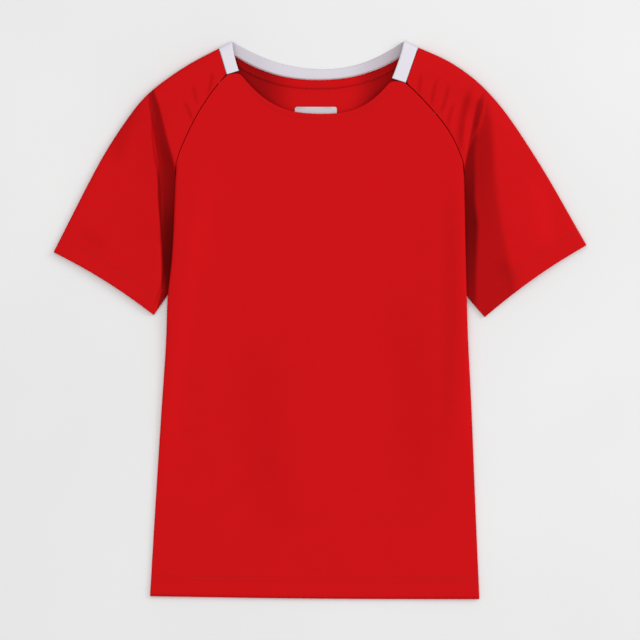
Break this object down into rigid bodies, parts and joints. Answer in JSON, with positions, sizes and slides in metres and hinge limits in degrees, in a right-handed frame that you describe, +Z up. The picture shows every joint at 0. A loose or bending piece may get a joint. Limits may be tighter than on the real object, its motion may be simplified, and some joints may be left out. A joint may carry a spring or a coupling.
{
  "type": "training t-shirt",
  "caption": "Child's short-sleeved training t-shirt in red knit with raglan sleeves and a white contrast neck band, laid out flat on its back.",
  "frame": {"origin": "on the surface that the shirt lies on, under the middle of the whole shirt", "axes": "+X across the shirt to the sleeve on the viewer's right, +Y up the shirt to the neck, +Z up from the surface"},
  "size_m": [0.534, 0.5589, 0.0134],
  "materials": {
    "red_knit": "matte polyester interlock knit",
    "white_knit": "matte white polyester knit",
    "red_tape": "matte woven polyester tape",
    "label_print": "smooth satin label"
  },
  "bodies": {
    "root": {"front_panel": "red_knit", "back_panel": "red_knit", "left_sleeve": "red_knit", "right_sleeve": "red_knit", "neck_band": "white_knit", "neck_tape": "red_tape", "neck_label": "label_print"}
  },
  "joints": []
}
